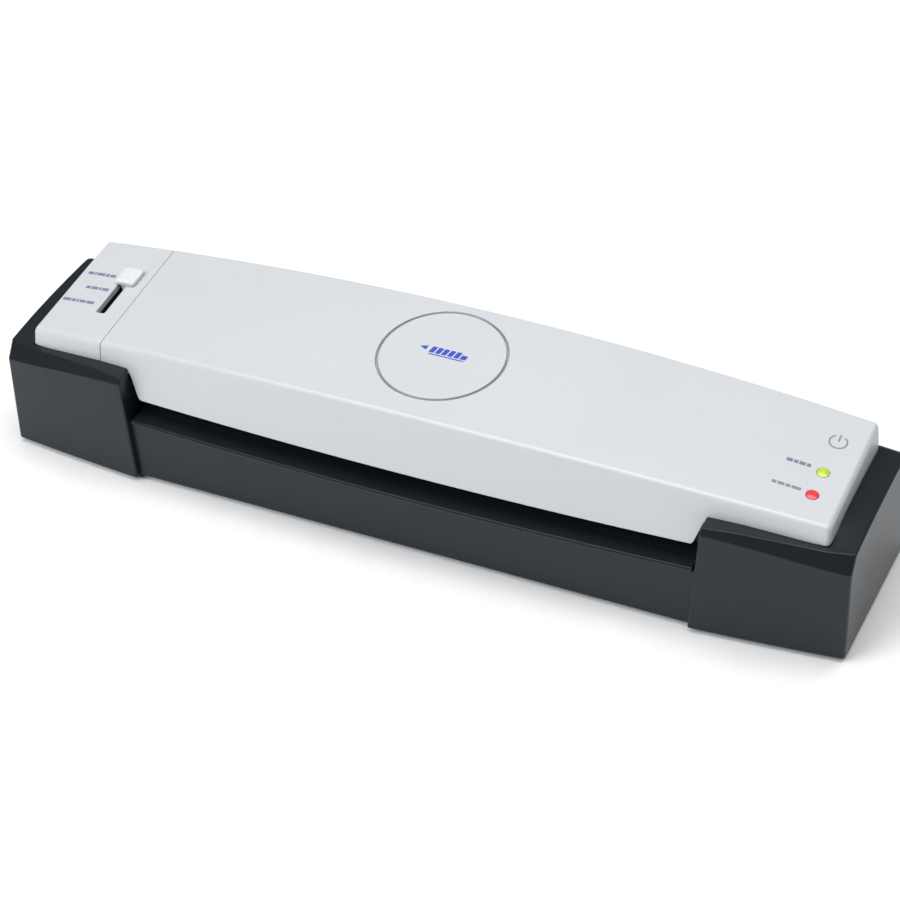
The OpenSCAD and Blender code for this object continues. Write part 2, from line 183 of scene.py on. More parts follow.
def edge_steps(radius, count=6):
    return [radius * (1 - math.cos(math.radians(90 * k / count))) for k in range(count + 1)]


STATION_GAP = 0.015


def tidy_stations(values):
    """The values in order, without any that lies a hair past the one before it."""
    out = []
    for v in sorted(values):
        if not out or v - out[-1] > STATION_GAP:
            out.append(v)
    return out


# ---- Meshes --------------------------------------------------------------

# Points closer than these become one, in a new mesh and in a finished one, and the shortest edge kept
NEW_WELD, FINISHED_WELD, LEAST_LENGTH = 1e-4, 2e-3, 1e-3


def mesh_object(name, verts, faces):
    data = bpy.data.meshes.new(name)
    data.from_pydata([tuple(v) for v in verts], [], faces)
    data.update()
    obj = bpy.data.objects.new(name, data)
    bpy.context.scene.collection.objects.link(obj)
    bm = bmesh.new()
    bm.from_mesh(data)
    bmesh.ops.remove_doubles(bm, verts=bm.verts, dist=NEW_WELD)
    bmesh.ops.recalc_face_normals(bm, faces=bm.faces)
    bm.to_mesh(data)
    bm.free()
    return obj


def loft(name, rows):
    """A closed solid through rows of points, each row a closed loop of the same count."""
    count = len(rows[0])
    verts = [p for row in rows for p in row]
    faces = []
    for i in range(len(rows) - 1):
        for j in range(count):
            k = (j + 1) % count
            faces.append((i * count + j, i * count + k, (i + 1) * count + k, (i + 1) * count + j))
    faces.append(tuple(range(count)))
    faces.append(tuple((len(rows) - 1) * count + j for j in range(count)))
    return mesh_object(name, verts, faces)


def lathe(name, profile, place, segments=96):
    """A closed solid of revolution; the first and last points of the profile are on the axis."""
    verts = [place(0, 0, profile[0][1]), place(0, 0, profile[-1][1])]
    rings = profile[1:-1]
    for r, h in rings:
        for s in range(segments):
            t = 2 * math.pi * s / segments
            verts.append(place(r * math.cos(t), r * math.sin(t), h))
    faces = []
    for s in range(segments):
        n = (s + 1) % segments
        faces.append((0, 2 + s, 2 + n))
        for i in range(len(rings) - 1):
            a = 2 + i * segments
            b = a + segments
            faces.append((a + s, b + s, b + n, a + n))
        last = 2 + (len(rings) - 1) * segments
        faces.append((1, last + n, last + s))
    return mesh_object(name, verts, faces)


def ring_lathe(name, profile, place, segments=64):
    """A closed ring turned from a closed (r, h) outline."""
    verts, faces, count = [], [], len(profile)
    for s in range(segments):
        t = 2 * math.pi * s / segments
        verts += [place(r * math.cos(t), r * math.sin(t), h) for r, h in profile]
    for s in range(segments):
        n = (s + 1) % segments
        for j in range(count):
            k = (j + 1) % count
            faces.append((s * count + j, s * count + k, n * count + k, n * count + j))
    return mesh_object(name, verts, faces)


def join(name, objects):
    """One object from several, each already a closed solid."""
    bm = bmesh.new()
    for o in objects:
        bm.from_mesh(o.data)
        bpy.data.objects.remove(o)
    data = bpy.data.meshes.new(name)
    bm.to_mesh(data)
    bm.free()
    obj = bpy.data.objects.new(name, data)
    bpy.context.scene.collection.objects.link(obj)
    return obj


def boolean(target, other, operation):
    mod = target.modifiers.new("solid", "BOOLEAN")
    mod.operation = operation
    mod.solver = "EXACT"
    mod.object = other
    bpy.context.view_layer.update()
    graph = bpy.context.evaluated_depsgraph_get()
    result = bpy.data.meshes.new_from_object(target.evaluated_get(graph))
    target.modifiers.clear()
    target.data = result
    bpy.data.objects.remove(other)


def finish_piece(obj, mat, slot, body, *nodes, sharp=30):
    """Scales a piece to metres, shades it, and ties it to the frame."""
    bm = bmesh.new()
    bm.from_mesh(obj.data)
    bmesh.ops.remove_doubles(bm, verts=bm.verts, dist=FINISHED_WELD)
    bmesh.ops.dissolve_degenerate(bm, edges=bm.edges, dist=LEAST_LENGTH)
    bmesh.ops.scale(bm, vec=(MM, MM, MM), verts=bm.verts)
    for face in bm.faces:
        face.smooth = True
    for edge in bm.edges:
        edge.smooth = len(edge.link_faces) == 2 and edge.calc_face_angle() < math.radians(sharp)
    bm.to_mesh(obj.data)
    bm.free()
    obj.data.materials.clear()
    obj.data.materials.append(mat)
    weighted = obj.modifiers.new("normals", "WEIGHTED_NORMAL")
    weighted.keep_sharp = True
    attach(obj, body)
    if nodes:
        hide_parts(*nodes)
    return obj


# ---- Materials -----------------------------------------------------------


GRAIN_RELIEF = 0.00005
ROUGH_SWING = 0.03
COAT_ROUGHNESS = 0.12
# The part of a noise texture's range that is stretched over a whole tone or gloss range
NOISE_LOW, NOISE_HIGH = 0.3, 0.7


def surface(name, low, high, rough, grain, bump, metallic=0.0, cloud=14.0, coat=0.0, emit=0.0,
            stretch=(1, 1, 1), specular=0.5, tint=(1.0, 1.0, 1.0)):
    """A moulded or metal surface: clouds and grain between two tones, cloudy gloss and a grainy relief."""
    mat = bpy.data.materials.new(name)
    mat.use_nodes = True
    tree = mat.node_tree
    nodes, links = tree.nodes, tree.links
    shader = nodes["Principled BSDF"]
    shader.inputs["Metallic"].default_value = metallic
    shader.inputs["Specular IOR Level"].default_value = specular
    shader.inputs["Coat Weight"].default_value = coat
    shader.inputs["Coat Roughness"].default_value = COAT_ROUGHNESS
    shader.inputs["Specular Tint"].default_value = (*tint, 1)
    coords = nodes.new("ShaderNodeTexCoord")
    mapping = nodes.new("ShaderNodeMapping")
    mapping.inputs["Scale"].default_value = stretch
    links.new(coords.outputs["Object"], mapping.inputs["Vector"])

    def noise(scale, detail):
        tex = nodes.new("ShaderNodeTexNoise")
        tex.inputs["Scale"].default_value = scale
        tex.inputs["Detail"].default_value = detail
        links.new(mapping.outputs["Vector"], tex.inputs["Vector"])
        return tex

    def ranged(source, to_low, to_high):
        node = nodes.new("ShaderNodeMapRange")
        node.inputs["From Min"].default_value = NOISE_LOW
        node.inputs["From Max"].default_value = NOISE_HIGH
        node.inputs["To Min"].default_value = to_low
        node.inputs["To Max"].default_value = to_high
        links.new(source.outputs["Fac"], node.inputs["Value"])
        return node

    clouds = noise(cloud, 4.0)
    fine = noise(grain, 3.0)
    speck = ranged(fine, 0.0, 0.5)
    mix = nodes.new("ShaderNodeMath")
    mix.operation = "ADD"
    mix.use_clamp = True
    half = ranged(clouds, 0.0, 0.5)
    links.new(speck.outputs["Result"], mix.inputs[0])
    links.new(half.outputs["Result"], mix.inputs[1])
    ramp = nodes.new("ShaderNodeValToRGB")
    ramp.color_ramp.elements[0].color = (*low, 1)
    ramp.color_ramp.elements[1].color = (*high, 1)
    links.new(mix.outputs["Value"], ramp.inputs["Fac"])
    links.new(ramp.outputs["Color"], shader.inputs["Base Color"])
    gloss = ranged(clouds, rough - ROUGH_SWING, rough + ROUGH_SWING)
    links.new(gloss.outputs["Result"], shader.inputs["Roughness"])
    relief = nodes.new("ShaderNodeBump")
    relief.inputs["Strength"].default_value = bump
    relief.inputs["Distance"].default_value = GRAIN_RELIEF
    links.new(fine.outputs["Fac"], relief.inputs["Height"])
    links.new(relief.outputs["Normal"], shader.inputs["Normal"])
    if emit:
        links.new(ramp.outputs["Color"], shader.inputs["Emission Color"])
        shader.inputs["Emission Strength"].default_value = emit
    return mat


silver = surface("silver_plastic", (0.535, 0.555, 0.575), (0.585, 0.605, 0.622),
                 0.40, 5200, 0.10, metallic=0.10, cloud=9)
case_dark = surface("case_plastic", (0.0085, 0.0115, 0.0140), (0.0120, 0.0155, 0.0185),
                    0.33, 3600, 0.14, cloud=20, specular=0.39, tint=(0.77, 0.88, 1.0))
guide_dark = surface("guide_plastic", (0.008, 0.008, 0.009), (0.013, 0.013, 0.014), 0.45, 2600, 0.2)
knob_pale = surface("knob_plastic", (0.62, 0.635, 0.65), (0.68, 0.69, 0.705), 0.36, 4200, 0.08)
ink_grey = surface("print_grey", (0.19, 0.20, 0.21), (0.25, 0.26, 0.27), 0.5, 3000, 0.05)
ink_violet = surface("print_violet", (0.15, 0.155, 0.24), (0.21, 0.215, 0.32), 0.5, 3000, 0.05)
ink_blue = surface("print_blue", (0.030, 0.055, 0.38), (0.045, 0.085, 0.50), 0.45, 3000, 0.05)
lens_green = surface("lens_green", (0.36, 0.46, 0.03), (0.52, 0.62, 0.08),
                     0.2, 900, 0.03, coat=0.5, emit=0.22, cloud=400)
lens_red = surface("lens_red", (0.60, 0.012, 0.03), (0.78, 0.045, 0.06),
                   0.2, 900, 0.03, coat=0.5, emit=0.22, cloud=400)
led_clear = surface("led_clear", (0.70, 0.71, 0.69), (0.80, 0.81, 0.79), 0.12, 900, 0.03, coat=0.5)
rubber = surface("rubber", (0.010, 0.010, 0.010), (0.020, 0.020, 0.020), 0.70, 2200, 0.35)
silicone = surface("silicone", (0.26, 0.045, 0.025), (0.34, 0.065, 0.038), 0.42, 1800, 0.12)
nylon = surface("nylon", (0.66, 0.63, 0.54), (0.74, 0.71, 0.62), 0.42, 1500, 0.12)
steel = surface("zinc_steel", (0.50, 0.51, 0.52), (0.64, 0.65, 0.66),
                0.34, 700, 0.12, metallic=1.0, stretch=(0.06, 1, 1))
aluminium = surface("mill_aluminium", (0.68, 0.69, 0.70), (0.78, 0.79, 0.80),
                    0.30, 1400, 0.15, metallic=1.0, stretch=(0.03, 1, 1))
mica = surface("mica_sheet", (0.42, 0.35, 0.22), (0.62, 0.55, 0.40), 0.35, 240, 0.2, cloud=70)
ceramic = surface("white_ceramic", (0.70, 0.69, 0.65), (0.80, 0.79, 0.75), 0.55, 1500, 0.15)
board = surface("circuit_board", (0.012, 0.095, 0.035), (0.03, 0.16, 0.06),
                0.32, 420, 0.12, cloud=160, coat=0.3)

SLOT_MATERIALS = {
    "cover_silver": silver, "case_black": case_dark, "guide_black": guide_dark, "knob_white": knob_pale,
    "lens_green": lens_green, "lens_red": lens_red, "led_body": led_clear, "rubber": rubber,
    "silicone": silicone, "nylon": nylon, "steel": steel, "aluminium": aluminium, "mica": mica,
    "ceramic_white": ceramic, "circuit_board": board,
}
for part in frame["record"]["subparts"]:
    node = frame["nodes"][part["node"]]
    node.data.materials.clear()
    node.data.materials.append(SLOT_MATERIALS[part["material_slot"]])

# ---- Silver covers -------------------------------------------------------

FRONT_EDGE, REAR_EDGE, LIP_EDGE = 2.6, 1.0, 0.7
END_EDGE, SEAM_EDGE = 1.9, 0.45
SEAM_CLOSE = 0.08
END_DRAFT, DRAFT_RUN, DRAFT_Z = 0.075, 12, 55
RAMP_MARGIN, RAMP_STEP, RAMP_BLUR = 1.4, 0.4, 0.05
COVER_STEP, HOLLOW_STEP, HOLLOW_Z = 5.0, 20.0, 20
SEAM_OVERRUN = 4
# Edges inside the shell or near its ends are smaller, but not below these; the lower edge rises there
LEAST_LIP, LEAST_EDGE, LIP_LOSS, LIP_RISE = 0.12, 0.4, 0.5, 0.4


def drafted(x, outline):
    """The section's points at x, drawn in towards the top near the cover's ends."""
    draft = END_DRAFT * max(0, abs(x) - cover_end + DRAFT_RUN) / DRAFT_RUN
    side = 1 if x > 0 else -1
    return [(x - side * draft * (z - DRAFT_Z), y, z) for y, z in outline]


def cover_lines(x, inset):
    """Front, top and rear lines of the cover's section at x, as (point, direction) in YZ."""
    s, c = math.sin(SLOPE), math.cos(SLOPE)
    sag = arc_sag(x, CROWN_R)
    bow = arc_sag(x, FRONT_R)
    front = ((FRONT_Y + bow * c + inset * c, CROWN_Z - bow * s - inset * s), (s, c))
    top = ((sag * s + inset * s, CROWN_Z - sag * c - inset * c), (c, s))
    rear = ((REAR_Y - arc_sag(x, REAR_R) - inset, 0), (0, 1))
    return front, top, rear


def cover_section(x, inset, z_front, z_rear, edges=1.0):
    """Outline of the cover at x, up the front, over the top and down the rear."""
    front, top, rear = cover_lines(x, inset)
    points = [
        meet(front, ((0, z_front), (1, 0))), meet(front, top),
        meet(top, rear), meet(rear, ((0, z_rear), (1, 0))),
    ]
    lip = max(LEAST_LIP, LIP_EDGE * edges - LIP_LOSS * max(inset, 0))
    radii = [lip, max(LEAST_EDGE, FRONT_EDGE - inset), max(LEAST_EDGE, REAR_EDGE - inset), lip]
    return rounded(points, radii, [3, 9, 9, 3])


def lip_height(x, low):
    """Height of the cover's lower edge: low between the blocks, with a slanted run up to the short skirts."""
    blur = [RAMP_BLUR * k for k in range(-4, 5)]
    t = (abs(x) - LIP_HALF) / (SKIRT_HALF - LIP_HALF)
    rise = sum(min(1, max(0, t + b)) for b in blur) / len(blur)
    return max(low, LIP_Z + (SKIRT_Z - LIP_Z) * rise)


def cover_shell(name, x0, x1, edge0, edge1):
    xs = [x0 + d for d in edge_steps(edge0)] + [x1 - d for d in edge_steps(edge1)]
    xs += spread(x0 + edge0, x1 - edge1, COVER_STEP)
    for side in (-1, 1):
        ramp = [side * v for v in spread(LIP_HALF - RAMP_MARGIN, SKIRT_HALF + RAMP_MARGIN, RAMP_STEP)]
        xs += [x for x in ramp if x0 + edge0 < x < x1 - edge1]
    rows = []
    for x in tidy_stations(xs):
        inset = edge_inset(x - x0, edge0) + edge_inset(x1 - x, edge1)
        base = LIP_RISE * inset
        outline = cover_section(x, inset, lip_height(x, LIP_Z) + base, lip_height(x, REAR_LIP_Z) + base)
        rows.append(drafted(x, outline))
    shell = loft(name, rows)
    hollow = []
    inner0 = x0 - SEAM_OVERRUN if edge0 == SEAM_EDGE else x0 + WALL
    inner1 = x1 + SEAM_OVERRUN if edge1 == SEAM_EDGE else x1 - WALL
    for x in spread(inner0, inner1, HOLLOW_STEP):
        hollow.append([(x, y, z) for y, z in cover_section(x, WALL, HOLLOW_Z, HOLLOW_Z, 2.0)])
    boolean(shell, loft("hollow", hollow), "DIFFERENCE")
    return shell


CUT_ABOVE, RIM_START, SLOT_CORNER = 3.0, 0.02, 0.9


def slot_cutter(name, centre, half_w, half_l, edge, depth):
    """A long rounded hole through the top, flared at its rim."""
    place = on_top(centre)
    rows = []
    levels = [(edge, CUT_ABOVE), (edge, RIM_START)]
    levels += [(edge_inset(d, edge), -d) for d in edge_steps(edge, 4)]
    levels += [(0.0, -depth)]
    for grow, h in levels:
        w, l = half_w + grow, half_l + grow
        outline = rounded([(-w, -l), (w, -l), (w, l), (-w, l)], [SLOT_CORNER] * 4, [6] * 4)
        rows.append([place(a, b, h) for a, b in outline])
    return loft(name, rows)


def hole_cutter(name, centre, radius, edge, depth, segments=96):
    profile = [(0, CUT_ABOVE), (radius + edge, CUT_ABOVE)]
    profile += [(radius + edge_inset(d, edge), -d) for d in edge_steps(edge, 4)]
    profile += [(radius, -depth), (0, -depth)]
    return lathe(name, profile, on_top(centre), segments)


# A lens box's middle lies behind the spot where its tilted axis meets the top
LENS_TILT_SHIFT = 0.35
LENS_GAP, LENS_RIM, CUT_DEPTH = 0.15, 0.25, 8
WELL_GAP, WELL_RIM, WELL_DEPTH = 0.8, 0.3, 2.0
SLOT_RIM = 0.35

lens_at = {}
for colour in ("green", "red"):
    lo, hi = box_mm(colour + "_lens")
    lens_at[colour] = ((lo.x + hi.x) / 2, (lo.y + hi.y) / 2 - LENS_TILT_SHIFT)
    lens_r = (hi.x - lo.x) / 2

top_cover = cover_shell("cover", seam_right - SEAM_CLOSE, cover_end, SEAM_EDGE, END_EDGE)
boolean(top_cover, hole_cutter("well", badge_at, badge_r + WELL_GAP, WELL_RIM, WELL_DEPTH, 160), "DIFFERENCE")
for colour, spot in lens_at.items():
    boolean(top_cover, hole_cutter("hole", spot, lens_r + LENS_GAP, LENS_RIM, CUT_DEPTH, 48), "DIFFERENCE")
finish_piece(top_cover, silver, "cover_silver", "machine", "top_cover")

panel = cover_shell("control_panel", -cover_end, seam_left + SEAM_CLOSE, END_EDGE, SEAM_EDGE)
boolean(panel, slot_cutter("slot", (SLIDER_X, 0), SLOT_HALF, SLOT_END, SLOT_RIM, CUT_DEPTH), "DIFFERENCE")
finish_piece(panel, silver, "cover_silver", "machine", "control_cover")

# ---- Badge ---------------------------------------------------------------

DISC_EDGE, DISC_INSET, DISC_DEPTH = 0.3, 0.3, 1.9
disc_r = badge_r - DISC_INSET
badge_profile = [(0, 0)] + [(disc_r * k / 8, 0) for k in range(1, 8)]
badge_profile += [(disc_r - DISC_EDGE + DISC_EDGE * math.sin(math.radians(a)),
                   -DISC_EDGE * (1 - math.cos(math.radians(a)))) for a in (0, 22, 45, 67, 90)]
badge_profile += [(disc_r, -DISC_DEPTH), (0, -DISC_DEPTH)]
disc = lathe("badge", badge_profile, on_top(badge_at), 160)
finish_piece(disc, silver, "cover_silver", "machine", "badge_disc")

INK_TOP, INK_ROOT = 0.03, -0.06


def print_mark(name, centre, outlines, mat, slot="guide_black"):
    """Printed marks: each outline is a thin plate that follows the top."""
    place = on_top(centre)
    plates = [loft(name, [[place(a, b, h) for a, b in o] for h in (INK_ROOT, INK_TOP)]) for o in outlines]
    return finish_piece(join(name, plates), mat, slot, "machine")


def bar(x0, x1, y0, y1, lean=0.0, corner=0.25):
    corner = min(corner, 0.45 * min(x1 - x0, y1 - y0))
    points = [(x0, y0), (x1, y0), (x1 + lean, y1), (x0 + lean, y1)]
    return rounded(points, [corner] * 4, [3] * 4)


# A plain feed mark: an arrow head, slanted bars and a line under them
icon = [[(-10.4, 0.6), (-7.4, -0.7), (-7.2, 1.9)]]
icon += [bar(x, x + 2.0, -1.6, 2.0, 0.7) for x in (-5.9, -3.3, -0.7, 1.9, 4.5)]
icon += [bar(7.1, 9.6, -1.6, 0.8, 0.5), bar(-5.6, 9.2, -2.7, -2.15, 0.0, 0.1)]
ICON_LIFT = 1.6
print_mark("badge_mark", (badge_at[0], badge_at[1] + ICON_LIFT), icon, ink_blue)


def dashes(width, height, lengths, gap=0.45):
    """A row of short dashes that stands for a line of small print."""
    scale = (width - gap * (len(lengths) - 1)) / sum(lengths)
    out, x = [], -width / 2
    for length in lengths:
        out.append(bar(x, x + length * scale, -height / 2, height / 2, 0.0, 0.2))
        x += length * scale + gap
    return out


# Name, place on the top, width, height, dash lengths and ink
LABELS = [
    ("mark_rear", (-156.4, 8.8), 13.0, 1.7, [3, 1, 4, 2, 3], ink_violet),
    ("mark_middle", (-153.7, 0.2), 10.5, 1.7, [2, 3, 1, 3], ink_violet),
    ("mark_front", (-157.4, -8.7), 14.5, 1.7, [4, 2, 1, 3, 4], ink_violet),
    ("mark_ready", (145.6, -1.7), 9.4, 1.7, [3, 2, 3, 2], ink_violet),
    ("mark_power", (145.2, -14.4), 11.2, 1.5, [2, 3, 2, 4], ink_grey),
]
for label, spot, width, height, lengths, ink in LABELS:
    print_mark(label, spot, dashes(width, height, lengths), ink)

# The standard on/off symbol: an open ring and an upright bar
SWITCH_AT = (lens_at["green"][0], 14.1)
RING_OUT, RING_IN, RING_OPEN, RING_STEP = 3.7, 3.0, 32, 8
arc = [math.radians(90 + a) for a in range(RING_OPEN, 361 - RING_OPEN, RING_STEP)]
ring_pieces = []
for t0, t1 in zip(arc, arc[1:]):
    ring_pieces.append([(r * math.cos(t), r * math.sin(t)) for r, t in (
        (RING_IN, t0), (RING_OUT, t0), (RING_OUT, t1), (RING_IN, t1))])
print_mark("mark_on_off", SWITCH_AT, ring_pieces + [bar(-0.38, 0.38, 0.2, 3.9)], ink_grey)

# ---- Lights --------------------------------------------------------------

DOME_R, DOME_RISE, LENS_DEPTH = 5.46, 0.46, 4
LENS_MATERIALS = {"green": lens_green, "red": lens_red}
for colour, spot in lens_at.items():
    drop = DOME_R - DOME_RISE
    profile = [(0, DOME_RISE)]
    profile += [(lens_r * k / 8, math.sqrt(DOME_R ** 2 - (lens_r * k / 8) ** 2) - drop) for k in range(1, 8)]
    profile += [(lens_r - 0.05, 0.02), (lens_r, -0.12), (lens_r, -LENS_DEPTH), (0, -LENS_DEPTH)]
    lens = lathe(colour + "_light", profile, on_top(spot), 48)
    finish_piece(lens, LENS_MATERIALS[colour], "lens_" + colour, "machine", colour + "_lens")

# ---- Slider --------------------------------------------------------------

KNOB_AT = (SLIDER_X + 1.5, 8.9)
KNOB_W, KNOB_L, KNOB_H, KNOB_EDGE, KNOB_CORNER, KNOB_GAP = 4.3, 4.75, 1.9, 0.5, 0.9, 0.35
GROOVE_PITCH, GROOVE_R, GROOVE_RISE = 1.45, 0.36, 0.12
STEM_X0, STEM_X1, STEM_HALF, STEM_TOP, STEM_DEPTH = -SLOT_HALF - 0.6, SLOT_HALF - 1.2, 4, 0.5, 7.0
place = on_top(KNOB_AT)
levels = [(-edge_inset(d, KNOB_EDGE), KNOB_H - d) for d in edge_steps(KNOB_EDGE, 5)] + [(0.0, KNOB_GAP)]
layers = []
for grow, h in levels:
    w, l = KNOB_W + grow, KNOB_L + grow
    outline = rounded([(-w, -l), (w, -l), (w, l), (-w, l)], [KNOB_CORNER] * 4, [6] * 4)
    layers.append([place(a, b, h) for a, b in outline])
knob = loft("knob", layers)
for i in range(-2, 3):
    groove = []
    for a in (-KNOB_W - 1, KNOB_W + 1):
        ring = [(i * GROOVE_PITCH + GROOVE_R * math.cos(t), KNOB_H + GROOVE_RISE + GROOVE_R * math.sin(t))
                for t in [math.radians(k * 30) for k in range(12)]]
        groove.append([place(a, b, h) for b, h in ring])
    boolean(knob, loft("groove", groove), "DIFFERENCE")
stem_outline = bar(STEM_X0, STEM_X1, -STEM_HALF, STEM_HALF, 0, 0.5)
stem = [[place(a, b, h) for a, b in stem_outline] for h in (STEM_TOP, -STEM_DEPTH)]
boolean(knob, loft("stem", stem), "UNION")
finish_piece(knob, knob_pale, "knob_white", "slider", "slider_knob")

# ---- Case ----------------------------------------------------------------

CORNER_EDGE, BRIM_EDGE, BASE_EDGE, INNER_EDGE = 1.4, 0.6, 0.8, 0.9
BROW_LEAN, BROW_TOP_EDGE, BROW_FOOT_EDGE = math.radians(33), 0.8, 1.2
BROW_LEAST_RISE, BROW_LEAST_DEPTH, BROW_ROUNDS = 0.8, 0.3, 12
REAR_TOP_EDGE, REAR_TOP_FALL = 5.0, 0.006
# The leaning inner side of an end block fades out over this run; its middle lies this far out
LEAN_RUN, LEAN_MIDDLE = 32, 1.6
BLOCK_STEP, CAVITY_STEP = 3.0, 9.0
CREST_Y = (-28, -22, -16, -10, 0, 12, 24)

# Height of the shoulders by distance from the middle: all along, and more at the front
SHOULDER_LIFT = [(150, 0.2), (cover_end, -0.2), (case_end, -1.4)]
SHOULDER_FRONT = [(125, 0.65), (134, 0.5), (150, -0.5), (cover_end, -1.5), (case_end, -0.2)]
SHOULDER_FRONT_Y, SHOULDER_FRONT_RUN = -12, 16
BROW_Z = [(118, 46.9), (128, 46.3), (140, 45.2), (152, 43.8), (166, 42.0), (177.5, 41.0)]


def smooth_step(t):
    t = min(1, max(0, t))
    return t * t * (3 - 2 * t)


def between(x, knots):
    """Straight-line interpolation through (x, value) knots."""
    if x <= knots[0][0]:
        return knots[0][1]
    for (x0, v0), (x1, v1) in zip(knots, knots[1:]):
        if x <= x1:
            return v0 + (v1 - v0) * (x - x0) / (x1 - x0)
    return knots[-1][1]


def shoulder_z(x, y):
    """Height of the dark shoulders: arched front to rear, falling to the side rim and front corners."""
    x = abs(x)
    arch = SHOULDER_Z - arc_sag(y - SHOULDER_Y, SHOULDER_R) + between(x, SHOULDER_LIFT)
    return arch + between(x, SHOULDER_FRONT) * smooth_step((SHOULDER_FRONT_Y - y) / SHOULDER_FRONT_RUN)


def block_section(x, front_in, top_in, rear_in, base_in, rounding=1.0):
    """Outline of an end block at x: up the front, back over the brow and shoulder, and down the rear."""
    y_front = BLOCK_Y + arc_sag(x, BLOCK_R) + front_in
    z_base = case_lo.z + base_in
    s, c = math.sin(REAR_LEAN), math.cos(REAR_LEAN)
    rear = ((case_hi.y - rear_in * c, case_lo.z - rear_in * s), (-s, c))
    z_brow = between(x, BROW_Z)
    y_top, z_top = y_front, z_brow
    for _ in range(BROW_ROUNDS):
        z_top = shoulder_z(x, y_top) - top_in
        y_top = y_front + max(BROW_LEAST_DEPTH, (z_top - z_brow) * math.tan(BROW_LEAN))
    z_brow = min(z_brow, z_top - BROW_LEAST_RISE)
    crest = [(y, shoulder_z(x, y) - top_in) for y in CREST_Y]
    back = meet(rear, (crest[-1], (1, -REAR_TOP_FALL)))
    points = [(y_front, z_base), (y_front, z_brow), (y_top, z_top)] + crest
    points += [back, meet(rear, ((0, z_base), (1, 0)))]
    plain = [0] * len(CREST_Y)
    radii = [BASE_EDGE, BROW_FOOT_EDGE, BROW_TOP_EDGE] + plain + [REAR_TOP_EDGE, BASE_EDGE]
    return rounded(points, [r * rounding for r in radii], [3, 5, 8] + plain + [8, 3])


def leaning_section(side, x, *insets):
    """The block's section at x as points in space, with its inner side leaning outwards."""
    lean = max(0, 1 - (x - MOUTH_HALF) / LEAN_RUN)
    outline = block_section(x + LEAN_MIDDLE * lean, *insets)
    return [(side * (x + FLARE * (z - case_lo.z) * lean), y, z) for y, z in outline]


def block(side):
    x_in, x_out = MOUTH_HALF, case_end
    xs = [x_in + d for d in edge_steps(INNER_EDGE)] + [x_out - d for d in edge_steps(CORNER_EDGE, 9)]
    xs += [x_out - d for d in edge_steps(BRIM_EDGE)]
    xs += spread(x_in + INNER_EDGE, x_out - CORNER_EDGE, BLOCK_STEP)
    rows = []
    for x in tidy_stations(xs):
        inner = edge_inset(x - x_in, INNER_EDGE)
        corner = edge_inset(x_out - x, CORNER_EDGE) + inner
        brim = edge_inset(x_out - x, BRIM_EDGE) + inner
        base = edge_inset(x_out - x, BASE_EDGE) + inner
        rows.append(leaning_section(side, x, corner, brim, corner, base))
    return loft("block", rows)


def cavity(side):
    stations = spread(MOUTH_HALF + WALL, case_end - WALL, CAVITY_STEP)
    return loft("cavity", [
        leaning_section(side, x, WALL, WALL, WALL, FLOOR_Z - case_lo.z, 0.5) for x in stations
    ])


def straight(name, half, points, radii=None, steps=None):
    """A solid of one section between -half and half."""
    outline = rounded(points, radii, steps) if radii else points
    return loft(name, [[(x, y, z) for y, z in outline] for x in (-half, half)])


def rear_y(z, inset=0.0):
    """Depth of the leaning rear wall at a height, or of a plane inside it."""
    return case_hi.y - (z - case_lo.z) * math.tan(REAR_LEAN) - inset / math.cos(REAR_LEAN)


# The centre of the case stands a hair inside the blocks' faces and reaches into their inner walls
CENTRE_REACH, HAIR, REAR_HAIR = 3.2, 0.02, 0.03
MIDDLE_REACH, INSIDE_Y, FRONT_CUT_Z = 8, -28, 60
base_z = case_lo.z + HAIR
case = straight(
    "case", MOUTH_HALF + CENTRE_REACH,
    [(CENTRE_Y, base_z), (CENTRE_Y, SEAT_Z), (rear_y(SEAT_Z, REAR_HAIR), SEAT_Z),
     (rear_y(base_z, REAR_HAIR), base_z)],
    [1.0, 0.9, 0.8, 1.0], [4, 6, 3, 4],
)
for side in (-1, 1):
    boolean(case, block(side), "UNION")
for side in (-1, 1):
    boolean(case, cavity(side), "DIFFERENCE")
roof = [(y, shoulder_z(cover_end, y) - WALL) for y in (INSIDE_Y, -10, 2, 14, 26)]
roof_z = roof[-1][1]
inside = [(INSIDE_Y, FLOOR_Z)] + roof
inside += [(rear_y(roof_z, WALL), roof_z - 0.1), (rear_y(FLOOR_Z, WALL), FLOOR_Z)]
boolean(case, straight("middle", MOUTH_HALF + MIDDLE_REACH, inside), "DIFFERENCE")
front_y = CENTRE_Y + WALL
inside = [(front_y, FLOOR_Z), (front_y, FRONT_CUT_Z), (0, FRONT_CUT_Z), (0, FLOOR_Z)]
boolean(case, straight("front", MOUTH_HALF - WALL, inside), "DIFFERENCE")

# The covers' recess in the shoulders
RECESS_GAP, RECESS_Z, RECESS_TOP, RECESS_STEP = 0.3, 44.5, 75, 12.0
rows = []
for x in tidy_stations(
        [s * (cover_end + RECESS_GAP - d) for s in (-1, 1) for d in edge_steps(END_EDGE)]
        + spread(-cover_end + 2, cover_end - 2, RECESS_STEP)):
    inset = edge_inset(cover_end + RECESS_GAP - abs(x), END_EDGE) - RECESS_GAP
    front, top, rear = cover_lines(x, inset)
    ends = [(front, RECESS_Z), (front, RECESS_TOP), (rear, RECESS_TOP), (rear, RECESS_Z)]
    rows.append(drafted(x, [meet(line, ((0, z), (1, 0))) for line, z in ends]))
boolean(case, loft("recess", rows), "DIFFERENCE")


def upright(centre):
    """Place round an upright axis."""
    return lambda a, b, h: Vector((centre[0] + a, centre[1] + b, h))


WELL_R, FOOT_R, GLAND_R = 3.2, 6.1, 5.2
VENT_L, VENT_W, VENT_CORNER = 6, 1.2, 1.1


